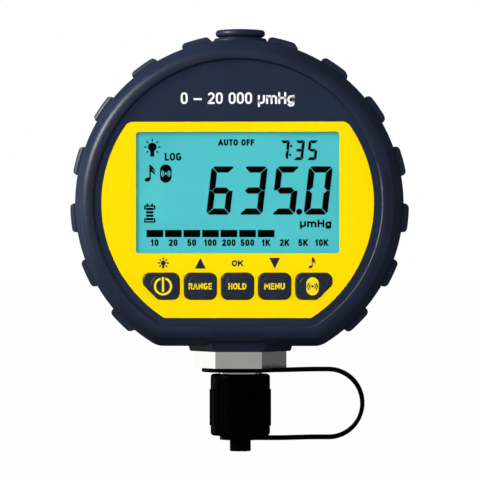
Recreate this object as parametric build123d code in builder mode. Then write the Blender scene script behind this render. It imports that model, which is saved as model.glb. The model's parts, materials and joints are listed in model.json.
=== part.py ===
from build123d import *
from math import asin, degrees
import os

os.makedirs("parts", exist_ok=True)

# The gauge stands upright. Its origin is the tip of the flare nose, on the axis of the port.
# +Z is up, the display faces -Y, and every size is in millimetres.

# Head: a disc cut by a level flat at its foot
head_height = 60.0        # flare nose up to the middle of the head
boot_radius = 45.25
flat_cut = 5.95           # what the level flat takes off the disc
boot_corner = 6.0         # rounding where the flat meets the round
boot_depth = 38.0         # front crown to back crown
band_depth = 18.0         # upright band round the middle of the boot
crown_inset = 2.5         # how far the shoulders lean in from band to crown
crown_rounding = 2.6
boot_wall = 2.5
boot_gap = 0.1            # boot to housing
rim_width = 5.85          # outside of the boot in to its round openings, in front and behind
rim_foot = 5.7            # the same at the flat
lip_rounding = 0.55

# Grip pads round the boot
pad_count_side = 7
pad_first_angle = -45.0
pad_boss_gap = 0.43       # boss to the pads beside it
pad_width = 8.0
pad_rise = 1.5
pad_length = 17.0
pad_rounding = 1.3

# Boss and plug on top of the boot
boss_diameter = 14.7
boss_rise = 0.55          # boss over the round of the boot
boss_rounding = 0.7
plug_step = 0.5           # plug's head inside the boss, all round
plug_height = 2.3
plug_dome = 0.4
plug_rounding = 0.9
plug_neck_height = 0.3
plug_neck_step = 0.9      # neck inside the plug's head, all round
plug_shank_diameter = 6.0
plug_foot_diameter = 9.0
plug_foot_height = 1.5
plug_fit = 0.1

# Housing shells
crown_over_face = 1.4     # the boot's front crown over the printed face
housing_wall = 2.1
housing_edge = 1.0
cavity_edge = 0.6

# Case screws, on a circle inside the housing's wall
case_screw_inset = 4.13   # wall to the circle
case_screw_room = 0.5     # upper screws' bosses over the display frame and the battery's compartment
case_screw_foot = 0.2     # lower screws' pillars to the floor
case_screw_diameter = 2.5
case_screw_head = 4.6
case_screw_head_height = 1.6
case_screw_length = 20.0
case_screw_sink = 0.8     # head below the back face
screw_boss_wall = 1.55
case_pillar_wall = 1.2
screw_recess_width = 1.5
screw_recess_depth = 0.8
screw_fit = 0.05
screw_head_fit = 0.1

# Face label
face_border = 2.1         # the boot's opening to the label
face_border_foot = 2.17   # the same at the flat
label_drop = 15.05        # the label's level top edge, below the top of its round
label_corner = 2.5
label_thickness = 0.3
label_gap = 0.1

# Display
view_side = 9.45          # the label's round to the side of the view
view_head = 2.75          # the label's top edge to the view
view_to_keys = 5.25
view_corner = 0.8
view_margin = 0.3         # housing ledge stands back from the label's opening
window_border = 1.9       # window plate past the view, all round
window_thickness = 1.2
lcd_side = 1.6            # glass past the view, at each side
lcd_end = 1.75            # the same above and below
lcd_thickness = 2.2
lcd_ledge = 2.4           # contact strip along the top, where the front glass stands past the rear one
lcd_corner = 0.3
lcd_gap = 0.1
frame_thickness = 0.4
frame_flange = 1.2        # how far the frame reaches over the glass
frame_tab_width = 2.0
frame_tab_spacing = 40.0
frame_tab_end = 0.5       # past the back of the board
frame_tab_gap = 0.2
guide_border = 1.0        # light guide inside the edge of the glass
connector_width = 1.8
connector_inset = 2.3     # inside the ends of the glass

# Main board
board_thickness = 1.6
board_edge_gap = 2.5      # housing's inside to the board
board_foot_gap = 1.3      # lock nut to the board
board_corner = 1.5
board_notch = 0.8         # past each case screw boss
board_hole_fit = 0.1
board_screw_inset = 4.1   # screws inside the round of the board
board_screw_spacing = 18.0
board_screw_diameter = 2.0
board_screw_head = 3.6
board_screw_head_height = 1.2
board_screw_length = 6.5
board_post_diameter = 4.4

# Keys
key_names = ("power", "units", "run", "mode", "radio")
key_width = 9.15          # opening in the label
key_height = 7.5
key_space = 1.02          # between two openings
key_foot = 4.93           # the label's foot up to the keys
key_corner = 2.0
outer_key_extra = 1.085   # an outer key's greater reach to its side
outer_key_edge = 3.3      # upright side that is left over its lower corner, cut at 45 degrees
key_proud = 0.8           # key tops over the printed face
key_top_rounding = 0.4
key_disc_diameter = 6.8
key_disc_height = 0.2
key_disc_rounding = 0.15
key_gap = 0.2             # keycap to its opening
key_flange = 0.9          # past the opening, above and below
key_flange_width = 7.0
key_flange_thickness = 0.8
key_post_diameter = 4.0
key_post_length = 0.25
key_stop_gap = 0.1
key_travel = 0.6
switch_size = 6.0
switch_height = 3.5
switch_rounding = 0.3
plunger_diameter = 3.4
plunger_depth = 1.5       # how much of the plunger is inside the switch
plunger_fit = 0.05
plunger_left = 0.25       # plunger still outside the switch at the end of the travel
plunger_clear = 0.4       # left under the plunger at the end of the travel

# Battery and its compartment
battery_length = 46.4
battery_width = 26.5
battery_thickness = 17.5
battery_rounding = 2.0
battery_z = 6.5           # battery's middle, above the middle of the head
battery_gap = 0.3
battery_stud_diameters = (5.6, 7.2)
battery_stud_height = 2.4
battery_stud_spacing = 12.7
snap_thickness = 4.4
snap_gap = 0.2
snap_fit = 0.05
snap_rounding = 1.0
snap_width = 12.5
snap_inset = 0.5          # inside the battery's width, at each end
compartment_wall = 1.2
door_lap_side = 2.2       # door past the compartment, at each side
door_lap_top = 1.45
door_thickness = 1.4
door_gap = 0.15
door_corner = 2.5
door_tab_width = 8.0
door_tab_reach = 1.5
door_tab_thickness = 0.8
door_tab_spacing = 30.0
door_ridge_count = 5
door_ridge_pitch = 2.0
door_ridge_width = 0.9
door_ridge_length = 16.0
door_ridge_height = 0.4
door_screw_drop = 3.35    # compartment down to the screw
door_foot = 3.6           # screw down to the door's lower edge
door_screw_diameter = 3.0
door_screw_length = 8.0
door_screw_boss = 6.6
countersink_angle = 45.0
countersink_left = 0.2    # door left under the screw's head
lead_diameter = 1.3
lead_spacing = 5.0
lead_drop = 3.5           # leads below the battery's middle
lead_run = 6.0            # snap to the bend
lead_bend = 3.0

# A row of small parts on the back of the board
parts_row_gap = 0.2       # over the link to the sensor board
buzzer_x = -14.0
buzzer_diameter = 9.0
buzzer_height = 2.6
buzzer_vent = 1.6
buzzer_vent_depth = 1.3
processor_x = -2.0
processor_size = 10.0
processor_thickness = 1.4
radio_x = 12.0
radio_width = 12.0
radio_height = 14.0
radio_thickness = 2.0

# Port fitting: 1/4 inch flare, 7/16-20 thread
hex_flats = 22.2
hex_height = 8.6
thread_diameter = 11.1
thread_chamfer = 0.6
thread_bottom = 3.0       # above the flare nose
nose_relief_depth = 0.95  # below the thread's outside
nose_tip_wall = 0.5
nose_tip_height = 0.3
port_bore = 4.8
neck_depth = 0.65         # groove for the strap, below the thread's outside
shoulder_rise = 0.45      # shoulder over the thread's outside
shoulder_height = 0.4
spigot_wall = 1.0
spigot_fit = 0.1
spigot_length = 9.2       # above the hexagon
sensor_seat_diameter = 12.0
sensor_seat_depth = 4.6
nut_wall = 2.0
nut_height = 4.0
collar_wall = 1.0         # the boot's hexagonal collar
collar_height = 1.6
collar_draft = 14.0       # degrees that its sides lean
collar_rounding = 0.5

# Sensor
header_height = 2.6
header_fit = 0.05
header_pin_diameter = 0.6
header_pin_circle = 6.0
header_pin_count = 4
header_pin_end = 0.6      # past the sensor board
bead_diameter = 1.2
bead_drop = 2.2
bead_wire_diameter = 0.4
seal_section = 1.6
sensor_board_width = 18.0
sensor_board_thickness = 1.2
sensor_board_lift = 1.2   # above the header
sensor_board_gap = 0.2    # to the main board
link_width = 10.0
link_height = 2.5
link_depth = 2.6

# Flare cap and its strap
thread_fit = 0.1          # cap's bore round the thread
cap_seat_gap = 0.05       # cap to the port's shoulder
cap_wall = 2.6
cap_end = 2.75
cap_rounding = 0.9
cap_mouth_chamfer = 0.6
cap_grip_rise = 0.3
cap_lip = 4.3             # plain band over the grip
cap_foot = 2.8            # plain band under the grip
cap_groove_count = 30
cap_groove_width = 0.7
cap_groove_depth = 0.25
gasket_thickness = 1.5
gasket_gap = 0.05
gasket_fit = 0.1
pin_neck_diameter = 4.4
pin_lip = 0.72
pin_length = 3.1
pin_rounding = 0.3
strap_thickness = 1.1
strap_width = 5.0
strap_ring_width = 5.65
strap_eye_width = 3.35
strap_reach = 24.75       # axis of the port to the start of the bend
strap_gap = 0.15

# Head and housing, from the sizes above
boot_flat = boot_radius - flat_cut
boot_half = boot_depth / 2
band_half = band_depth / 2
shoulder_lean = crown_inset / (boot_half - band_half)
lip_radius = boot_radius - rim_width
lip_flat = boot_flat - rim_foot
pad_radius = boot_radius + pad_rise
boss_height = boot_radius + boss_rise
face_height = boot_half - crown_over_face
housing_radius = boot_radius - boot_wall
housing_flat = boot_flat - boot_wall
cavity_radius = housing_radius - housing_wall
cavity_flat = housing_flat - housing_wall
wall_inside = face_height - housing_wall
boss_length = boss_height - housing_radius
foot_height = head_height - boot_flat
housing_foot = head_height - housing_flat
housing_floor = housing_foot + housing_wall

# Plug
plug_diameter = boss_diameter - 2 * plug_step
plug_neck_diameter = plug_diameter - 2 * plug_neck_step
plug_shoulder = boss_height + plug_neck_height
plug_top = plug_shoulder + plug_height
plug_rim = plug_top - plug_dome
plug_foot_top = (cavity_radius**2 - (plug_foot_diameter / 2) ** 2) ** 0.5 - plug_fit

# Label, keys and display, seen from the front
label_radius = lip_radius - face_border
label_top = label_radius - label_drop
label_bottom = lip_flat - face_border_foot
label_floor = face_height - label_thickness
key_pitch = key_width + key_space
key_places = [(index - (len(key_names) - 1) / 2) * key_pitch for index in range(len(key_names))]
key_row = key_foot + key_height / 2 - label_bottom
outer_key_reach = key_places[-1] + key_width / 2 + outer_key_extra
outer_key_cut = key_height - outer_key_edge
view_width = 2 * (label_radius - view_side)
view_top = label_top - view_head
view_foot = key_row + key_height / 2 + view_to_keys
view_height = view_top - view_foot
view_centre = (view_top + view_foot) / 2
window_floor = label_floor - window_thickness
lcd_width = view_width + 2 * lcd_side
lcd_height = view_height + 2 * lcd_end
lcd_front = wall_inside - frame_thickness
lcd_back = lcd_front - lcd_thickness
frame_room = 2 * lcd_gap
frame_wide = lcd_width + frame_room + 2 * frame_thickness
frame_high = lcd_height + frame_room + 2 * frame_thickness

# Key stack, from the face back to the main board
key_top = face_height + key_proud
key_flange_front = wall_inside - key_stop_gap
key_flange_back = key_flange_front - key_flange_thickness
plunger_proud = key_travel + plunger_left
plunger_room = key_travel + plunger_clear
plunger_top = key_flange_back - key_post_length
switch_top = plunger_top - plunger_proud
board_front = switch_top - switch_height
board_back = board_front - board_thickness

# Battery's compartment and door
door_floor = door_thickness - face_height
battery_back = door_floor + battery_gap
battery_front = battery_back + battery_thickness
battery_middle = (battery_front + battery_back) / 2
battery_x = (snap_gap + snap_thickness) / 2
battery_end = battery_x - battery_length / 2
snap_end = battery_end - snap_gap - snap_thickness
snap_length = battery_width - 2 * snap_inset
compartment_width = 2 * (battery_gap - snap_end)
compartment_height = battery_width + 2 * battery_gap
compartment_floor = battery_front + battery_gap
door_width = compartment_width + 2 * door_lap_side
door_top = battery_z + compartment_height / 2 + door_lap_top
door_screw_z = battery_z - compartment_height / 2 - door_screw_drop
door_bottom = door_screw_z - door_foot
door_height = door_top - door_bottom
door_z = (door_top + door_bottom) / 2
countersink = door_thickness - countersink_left
door_screw_head = door_screw_diameter + 2 * countersink
lead_z = battery_z - lead_drop

# Screws
screw_boss_diameter = case_screw_diameter + 2 * screw_boss_wall
case_pillar_diameter = case_screw_head + 2 * case_pillar_wall
case_screw_circle = cavity_radius - case_screw_inset
frame_top = view_centre + frame_high / 2
compartment_top = battery_z + compartment_height / 2 + compartment_wall
upper_screw_z = case_screw_room + max(
    frame_top + screw_boss_diameter / 2,
    compartment_top + case_pillar_diameter / 2,
)
lower_screw_z = case_pillar_diameter / 2 + case_screw_foot - cavity_flat
case_screw_places = [
    (side * (case_screw_circle**2 - level**2) ** 0.5, level)
    for level in (upper_screw_z, lower_screw_z)
    for side in (1, -1)
]
screw_seat = case_screw_sink + case_screw_head_height - face_height
board_radius = cavity_radius - board_edge_gap
board_flat = cavity_flat - nut_height - board_foot_gap
board_screw_x = board_radius - board_screw_inset
board_screw_places = [
    (side * board_screw_x, end * board_screw_spacing / 2) for side in (1, -1) for end in (1, -1)
]

# Port, from the head down to the flare nose, and the sensor above it
hex_top = housing_foot - spigot_fit
hex_bottom = hex_top - hex_height
neck_height = strap_thickness + strap_gap
shoulder_bottom = hex_bottom - neck_height - shoulder_height
neck_diameter = thread_diameter - 2 * neck_depth
shoulder_diameter = thread_diameter + 2 * shoulder_rise
nose_relief_diameter = thread_diameter - 2 * nose_relief_depth
nose_tip_diameter = port_bore + 2 * nose_tip_wall
cone_top = nose_tip_height + (nose_relief_diameter - nose_tip_diameter) / 2
spigot_diameter = sensor_seat_diameter + 2 * spigot_wall
spigot_top = hex_top + spigot_length
nut_flats = spigot_diameter + 2 * nut_wall
collar_flats = hex_flats + 2 * collar_wall
sensor_seat = spigot_top - sensor_seat_depth
header_bottom = sensor_seat + seal_section
header_top = header_bottom + header_height
sensor_board_bottom = header_top + sensor_board_lift
sensor_board_top = sensor_board_bottom + sensor_board_thickness
parts_row = sensor_board_top + link_height + parts_row_gap + radio_height / 2 - head_height

# Cap and strap
cap_top = shoulder_bottom - cap_seat_gap
cap_floor = -gasket_gap - gasket_thickness
cap_bottom = cap_floor - cap_end
cap_bore = thread_diameter + 2 * thread_fit
cap_diameter = cap_bore + 2 * cap_wall
cap_grip_diameter = cap_diameter + 2 * cap_grip_rise
cap_grip_top = cap_top - cap_lip
cap_grip_bottom = cap_bottom + cap_foot
pin_diameter = pin_neck_diameter + 2 * pin_lip
strap_top = hex_bottom - (neck_height - strap_thickness) / 2
strap_foot = cap_bottom - strap_gap / 2 - strap_thickness
pin_top = strap_foot - strap_gap / 2
strap_ring_diameter = neck_diameter + 2 * (strap_gap + strap_ring_width)
strap_eye_diameter = pin_neck_diameter + 2 * (strap_gap + strap_eye_width)

# A cut across the head is made with a tool larger than the head
cut_size = 4 * boot_radius

# The head's own plane: seen from the front, x to the right, y up, z towards the viewer
head = Plane(origin=(0, 0, head_height), x_dir=(1, 0, 0), z_dir=(0, -1, 0))


def at(height):
    """The head's plane, moved forward by height. A negative height is behind the middle."""
    return head.offset(height)


def disc_with_flat(plane, radius, flat, corner):
    """A disc cut by a level flat at its foot, with the two corners rounded."""
    with BuildSketch(plane) as outline:
        Circle(radius)
        with Locations((0, -flat)):
            Rectangle(cut_size, cut_size, align=(Align.CENTER, Align.MAX), mode=Mode.SUBTRACT)
        fillet(outline.vertices().group_by(Axis.Y)[0], corner)
    return outline.sketch


def head_form(inset, half_depth, rounding):
    """The head as a closed form, inset all round: an upright band between two leaning shoulders."""
    radius = boot_radius - inset
    flat = boot_flat - inset
    lean = shoulder_lean * (half_depth - band_half)
    with BuildPart() as form:
        extrude(disc_with_flat(at(-band_half), radius, flat, boot_corner), amount=band_depth)
        for side in (1, -1):
            root = disc_with_flat(at(side * band_half), radius, flat, boot_corner)
            crown = disc_with_flat(at(side * half_depth), radius - lean, flat - lean, boot_corner)
            loft([root.face(), crown.face()], ruled=True)
        crown_edges = form.edges().group_by(Axis.Y)
        fillet(crown_edges[0] + crown_edges[-1], rounding)
    return form.part


def key_outline(plane, place, grow):
    """One key seen from the front, grown all round. The two outer keys lose a lower corner."""
    half = key_width / 2
    top = key_row + key_height / 2
    bottom = key_row - key_height / 2
    with BuildSketch(plane) as outline:
        if abs(place) < key_places[-1]:
            with Locations((place, key_row)):
                RectangleRounded(key_width, key_height, key_corner)
        else:
            side = 1 if place > 0 else -1
            inner = place - side * half
            outer = side * outer_key_reach
            with BuildLine():
                Polyline(
                    (inner, top),
                    (outer, top),
                    (outer, bottom + outer_key_cut),
                    (outer - side * outer_key_cut, bottom),
                    (inner, bottom),
                    close=True,
                )
            make_face()
            fillet(outline.vertices(), key_corner)
        if grow:
            offset(amount=grow)
    return outline.sketch


def label_outline(plane, grow):
    """The label: a disc cut level at top and foot, with its two upper corners rounded."""
    radius = label_radius + grow
    with BuildSketch(plane) as outline:
        Circle(radius)
        with Locations((0, label_top + grow)):
            Rectangle(cut_size, cut_size, align=(Align.CENTER, Align.MIN), mode=Mode.SUBTRACT)
        with Locations((0, -label_bottom - grow)):
            Rectangle(cut_size, cut_size, align=(Align.CENTER, Align.MAX), mode=Mode.SUBTRACT)
        fillet(outline.vertices().group_by(Axis.Y)[-1], label_corner)
    return outline.sketch


def view_rectangle(plane, grow, corner):
    """The display's view, grown all round."""
    with BuildSketch(plane) as outline:
        with Locations((0, view_centre)):
            RectangleRounded(view_width + 2 * grow, view_height + 2 * grow, corner)
    return outline.sketch


def dots(plane, places, diameter):
    """A round of one diameter at each place."""
    with BuildSketch(plane) as rounds:
        with Locations(*places):
            Circle(diameter / 2)
    return rounds.sketch


def hexagon(plane, flats):
    """A hexagon by its width across flats, with two flats facing front and back."""
    with BuildSketch(plane) as outline:
        RegularPolygon(flats / 2, 6, major_radius=False)
    return outline.sketch


# Rubber boot: grip pads, a boss on top and a hexagonal collar round the port
pad_reach = boss_diameter / 2 + pad_boss_gap + pad_width / 2
pad_last_angle = 90 - degrees(asin(pad_reach / boot_radius))
pad_pitch_angle = (pad_last_angle - pad_first_angle) / (pad_count_side - 1)
pad_angles = [pad_first_angle + pad_pitch_angle * step for step in range(pad_count_side)]
pad_angles += [180 - angle for angle in pad_angles]
pad_root = boot_radius - boot_wall / 2

with BuildPart() as grip_pads:
    with BuildSketch(at(-pad_length / 2)):
        for angle in pad_angles:
            with PolarLocations(pad_root, 1, angle):
                Rectangle(pad_radius - pad_root, pad_width, align=(Align.MIN, Align.CENTER))
        Circle(pad_radius, mode=Mode.INTERSECT)
    extrude(amount=pad_length)
    pad_tops = grip_pads.faces().filter_by(GeomType.CYLINDER)
    fillet(pad_tops.edges(), pad_rounding)

boot_outside = head_form(0, boot_half, crown_rounding)
boot_inside = head_form(boot_wall - boot_gap, face_height + boot_gap, housing_edge)
plug_hole = dots(Plane.XY.offset(head_height), [(0, 0)], plug_shank_diameter + 2 * plug_fit)

with BuildPart() as rubber_boot:
    add(boot_outside)
    add(grip_pads.part)
    boss_round = dots(Plane.XY.offset(head_height + housing_radius), [(0, 0)], boss_diameter)
    extrude(boss_round, amount=boss_length)
    fillet(rubber_boot.faces().sort_by(Axis.Z)[-1].edges(), boss_rounding)
    collar = hexagon(Plane.XY.offset(foot_height - collar_height), collar_flats)
    extrude(collar, amount=collar_height + boot_wall, taper=-collar_draft)
    fillet(rubber_boot.faces().sort_by(Axis.Z)[0].edges(), collar_rounding)
    add(boot_inside, mode=Mode.SUBTRACT)
    lip_opening = disc_with_flat(at(-boot_depth), lip_radius, lip_flat, boot_corner)
    extrude(lip_opening, amount=2 * boot_depth, mode=Mode.SUBTRACT)
    crowns = rubber_boot.faces().sort_by(Axis.Y)
    lip_edges = crowns[0].inner_wires()[0].edges() + crowns[-1].inner_wires()[0].edges()
    fillet(lip_edges, lip_rounding)
    hex_hole = hexagon(Plane.XY.offset(hex_bottom), hex_flats + 2 * boot_gap)
    extrude(hex_hole, amount=housing_floor - hex_bottom, mode=Mode.SUBTRACT)
    extrude(plug_hole, amount=boss_height + boot_radius, mode=Mode.SUBTRACT)
rubber_boot.part.label = "rubber_boot"
export_step(rubber_boot.part, "parts/rubber_boot.step")

# Plug: a mushroom stud through boot and housing, trapped by its foot behind the two shells
with BuildPart() as top_plug:
    with BuildSketch(head) as plug_half:
        with BuildLine():
            Polyline(
                (0, plug_top),
                (0, plug_foot_top - plug_foot_height),
                (plug_foot_diameter / 2, plug_foot_top - plug_foot_height),
                (plug_foot_diameter / 2, plug_foot_top),
                (plug_shank_diameter / 2, plug_foot_top),
                (plug_shank_diameter / 2, boss_height),
                (plug_neck_diameter / 2, boss_height),
                (plug_neck_diameter / 2, plug_shoulder),
                (plug_diameter / 2, plug_shoulder),
                (plug_diameter / 2, plug_rim),
            )
            TangentArc((0, plug_top), (plug_diameter / 2, plug_rim), tangent=(1, 0))
        make_face()
        for rim_height in (plug_shoulder, plug_rim):
            rim = plug_half.vertices().sort_by_distance((plug_diameter / 2, rim_height, 0))[0]
            fillet(rim, plug_rounding)
    revolve(axis=Axis.Z)
top_plug.part.label = "top_plug"
export_step(top_plug.part, "parts/top_plug.step")

# Housing shells, parted at the middle of the head
housing_outside = head_form(boot_wall, face_height, housing_edge)
housing_inside = head_form(boot_wall + housing_wall, wall_inside, cavity_edge)
port_hole = dots(Plane.XY.offset(hex_bottom), [(0, 0)], spigot_diameter + 2 * spigot_fit)
case_holes = dots(at(-face_height), case_screw_places, case_screw_diameter + 2 * screw_fit)
screw_reach = case_screw_length + screw_seat

with BuildPart() as front_housing:
    add(housing_outside)
    add(housing_inside, mode=Mode.SUBTRACT)
    extrude(dots(at(0), case_screw_places, screw_boss_diameter), amount=wall_inside)
    extrude(dots(at(board_front), board_screw_places, board_post_diameter), amount=wall_inside - board_front)
    split(bisect_by=at(0), keep=Keep.TOP)
    extrude(label_outline(at(label_floor), label_gap), amount=face_height, mode=Mode.SUBTRACT)
    window_pocket = view_rectangle(at(window_floor), window_border + label_gap, window_border)
    extrude(window_pocket, amount=window_thickness, mode=Mode.SUBTRACT)
    extrude(view_rectangle(at(board_front), view_margin, view_corner), amount=face_height, mode=Mode.SUBTRACT)
    for place in key_places:
        extrude(key_outline(at(board_front), place, 0), amount=face_height, mode=Mode.SUBTRACT)
    extrude(case_holes, amount=face_height + screw_reach + screw_fit, mode=Mode.SUBTRACT)
    board_pilots = dots(at(board_back), board_screw_places, board_screw_diameter + 2 * screw_fit)
    extrude(board_pilots, amount=board_screw_length + screw_fit, mode=Mode.SUBTRACT)
    extrude(port_hole, amount=housing_floor - hex_bottom, mode=Mode.SUBTRACT)
    extrude(plug_hole, amount=boot_radius, mode=Mode.SUBTRACT)
front_housing.part.label = "front_housing"
export_step(front_housing.part, "parts/front_housing.step")

with BuildPart() as rear_housing:
    add(housing_outside)
    add(housing_inside, mode=Mode.SUBTRACT)
    extrude(dots(at(-wall_inside), case_screw_places, case_pillar_diameter), amount=wall_inside)
    extrude(dots(at(-wall_inside), [(0, door_screw_z)], door_screw_boss), amount=door_screw_length)
    split(bisect_by=at(0), keep=Keep.BOTTOM)
    with BuildSketch(at(-wall_inside)):
        with Locations((0, battery_z)):
            Rectangle(compartment_width + 2 * compartment_wall, compartment_height + 2 * compartment_wall)
    extrude(amount=wall_inside + compartment_floor + compartment_wall)
    with BuildSketch(at(-face_height)):
        with Locations((0, battery_z)):
            Rectangle(compartment_width, compartment_height)
    extrude(amount=face_height + compartment_floor, mode=Mode.SUBTRACT)
    with BuildSketch(at(-face_height)):
        with Locations((0, door_z)):
            RectangleRounded(door_width + 2 * door_gap, door_height + 2 * door_gap, door_corner + door_gap)
    extrude(amount=door_thickness, mode=Mode.SUBTRACT)
    with BuildSketch(at(door_floor - door_gap)):
        with Locations((0, door_top)):
            with GridLocations(door_tab_spacing, 1, 2, 1):
                Rectangle(door_tab_width + 2 * door_gap, 2 * (door_tab_reach + door_gap))
    extrude(amount=door_tab_thickness + 2 * door_gap, mode=Mode.SUBTRACT)
    with BuildSketch(at(battery_middle)):
        with Locations((-(compartment_width + compartment_wall) / 2, lead_z)):
            Rectangle(2 * compartment_wall, lead_spacing + 2 * lead_diameter)
    extrude(amount=lead_diameter, both=True, mode=Mode.SUBTRACT)
    head_holes = dots(at(-face_height), case_screw_places, case_screw_head + 2 * screw_head_fit)
    extrude(head_holes, amount=face_height + screw_seat, mode=Mode.SUBTRACT)
    extrude(case_holes, amount=face_height, mode=Mode.SUBTRACT)
    door_pilot = dots(at(-face_height), [(0, door_screw_z)], door_screw_diameter + 2 * screw_fit)
    extrude(door_pilot, amount=door_screw_length + screw_fit, mode=Mode.SUBTRACT)
    extrude(port_hole, amount=housing_floor - hex_bottom, mode=Mode.SUBTRACT)
    extrude(plug_hole, amount=boot_radius, mode=Mode.SUBTRACT)
rear_housing.part.label = "rear_housing"
export_step(rear_housing.part, "parts/rear_housing.step")

# Screws with round heads and a hexagonal recess, driven from the back
with BuildPart() as case_screws:
    extrude(dots(at(screw_seat), case_screw_places, case_screw_diameter), amount=case_screw_length)
    extrude(dots(at(screw_seat), case_screw_places, case_screw_head), amount=-case_screw_head_height)
    with BuildSketch(at(screw_seat - case_screw_head_height)):
        with Locations(*case_screw_places):
            RegularPolygon(screw_recess_width / 2, 6, major_radius=False)
    extrude(amount=screw_recess_depth, mode=Mode.SUBTRACT)
case_screws.part.label = "case_screws"
export_step(case_screws.part, "parts/case_screws.step")

with BuildPart() as board_screws:
    extrude(dots(at(board_back), board_screw_places, board_screw_diameter), amount=board_screw_length)
    extrude(dots(at(board_back), board_screw_places, board_screw_head), amount=-board_screw_head_height)
    with BuildSketch(at(board_back - board_screw_head_height)):
        with Locations(*board_screw_places):
            RegularPolygon(screw_recess_width / 2, 6, major_radius=False)
    extrude(amount=screw_recess_depth, mode=Mode.SUBTRACT)
board_screws.part.label = "board_screws"
export_step(board_screws.part, "parts/board_screws.step")

# Battery door: two tabs under the upper edge, one countersunk screw, and ridges for the thumb
with BuildPart() as battery_door:
    with BuildSketch(at(-face_height)):
        with Locations((0, door_z)):
            RectangleRounded(door_width, door_height, door_corner)
    extrude(amount=door_thickness)
    with BuildSketch(at(door_floor)):
        with Locations((0, door_top)):
            with GridLocations(door_tab_spacing, 1, 2, 1):
                Rectangle(door_tab_width, 2 * door_tab_reach)
    extrude(amount=door_tab_thickness)
    with BuildSketch(at(-face_height)):
        with Locations((0, door_top - door_ridge_count * door_ridge_pitch)):
            with GridLocations(1, door_ridge_pitch, 1, door_ridge_count):
                SlotOverall(door_ridge_length, door_ridge_width)
    extrude(amount=-door_ridge_height)
    extrude(door_pilot, amount=door_thickness, mode=Mode.SUBTRACT)
    sink = dots(at(-face_height), [(0, door_screw_z)], door_screw_head + 2 * screw_fit)
    extrude(sink, amount=countersink, taper=countersink_angle, mode=Mode.SUBTRACT)
battery_door.part.label = "battery_door"
export_step(battery_door.part, "parts/battery_door.step")

with BuildPart() as door_screw:
    extrude(dots(at(-face_height), [(0, door_screw_z)], door_screw_diameter), amount=door_screw_length)
    screw_cone = dots(at(-face_height), [(0, door_screw_z)], door_screw_head)
    extrude(screw_cone, amount=countersink, taper=countersink_angle)
    with BuildSketch(at(-face_height)):
        with Locations((0, door_screw_z)):
            RegularPolygon(screw_recess_width / 2, 6, major_radius=False)
    extrude(amount=screw_recess_depth, mode=Mode.SUBTRACT)
door_screw.part.label = "door_screw"
export_step(door_screw.part, "parts/door_screw.step")

# Face label, a film in a recess of the front housing
with BuildPart() as face_label:
    extrude(label_outline(at(label_floor), 0), amount=label_thickness)
    extrude(view_rectangle(at(label_floor), 0, view_corner), amount=label_thickness, mode=Mode.SUBTRACT)
    for place in key_places:
        extrude(key_outline(at(label_floor), place, 0), amount=label_thickness, mode=Mode.SUBTRACT)
face_label.part.label = "face_label"
export_step(face_label.part, "parts/face_label.step")

# Display: window, glass cell, frame, light guide and the contact strip above it
with BuildPart() as display_window:
    extrude(view_rectangle(at(window_floor), window_border, window_border), amount=window_thickness)
display_window.part.label = "display_window"
export_step(display_window.part, "parts/display_window.step")

lcd_middle = lcd_front - lcd_thickness / 2
lcd_top = view_centre + lcd_height / 2
lcd_foot = view_centre - lcd_height / 2

with BuildPart() as lcd_glass:
    with BuildSketch(at(lcd_middle)):
        with Locations((0, lcd_foot)):
            Rectangle(lcd_width, lcd_height, align=(Align.CENTER, Align.MIN))
    extrude(amount=lcd_thickness / 2)
    with BuildSketch(at(lcd_back)):
        with Locations((0, lcd_foot)):
            Rectangle(lcd_width, lcd_height - lcd_ledge, align=(Align.CENTER, Align.MIN))
    extrude(amount=lcd_thickness / 2)
    fillet(lcd_glass.edges().filter_by(Axis.Y), lcd_corner)
lcd_glass.part.label = "lcd_glass"
export_step(lcd_glass.part, "parts/lcd_glass.step")

tab_rows = frame_high - frame_thickness

with BuildPart() as lcd_frame:
    with BuildSketch(at(board_front)):
        with Locations((0, view_centre)):
            Rectangle(frame_wide, frame_high)
    extrude(amount=wall_inside - board_front)
    with BuildSketch(at(board_front)):
        with Locations((0, view_centre)):
            Rectangle(lcd_width + frame_room, lcd_height + frame_room)
    extrude(amount=lcd_front - board_front, mode=Mode.SUBTRACT)
    with BuildSketch(at(lcd_front)):
        with Locations((0, view_centre)):
            Rectangle(lcd_width - 2 * frame_flange, lcd_height - 2 * frame_flange)
    extrude(amount=frame_thickness, mode=Mode.SUBTRACT)
    with BuildSketch(at(board_back - frame_tab_end)):
        with Locations((0, view_centre)):
            with GridLocations(frame_tab_spacing, tab_rows, 2, 2):
                Rectangle(frame_tab_width, frame_thickness)
    extrude(amount=board_thickness + frame_tab_end)
lcd_frame.part.label = "lcd_frame"
export_step(lcd_frame.part, "parts/lcd_frame.step")

with BuildPart() as light_guide:
    with BuildSketch(at(board_front)):
        with Locations((0, lcd_foot + guide_border)):
            Rectangle(
                lcd_width - 2 * guide_border,
                lcd_height - lcd_ledge - 2 * guide_border,
                align=(Align.CENTER, Align.MIN),
            )
    extrude(amount=lcd_back - board_front)
light_guide.part.label = "light_guide"
export_step(light_guide.part, "parts/light_guide.step")

with BuildPart() as display_connector:
    with BuildSketch(at(board_front)):
        with Locations((0, lcd_top - lcd_ledge / 2)):
            Rectangle(lcd_width - 2 * connector_inset, connector_width)
    extrude(amount=lcd_middle - board_front)
display_connector.part.label = "display_connector"
export_step(display_connector.part, "parts/display_connector.step")

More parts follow.
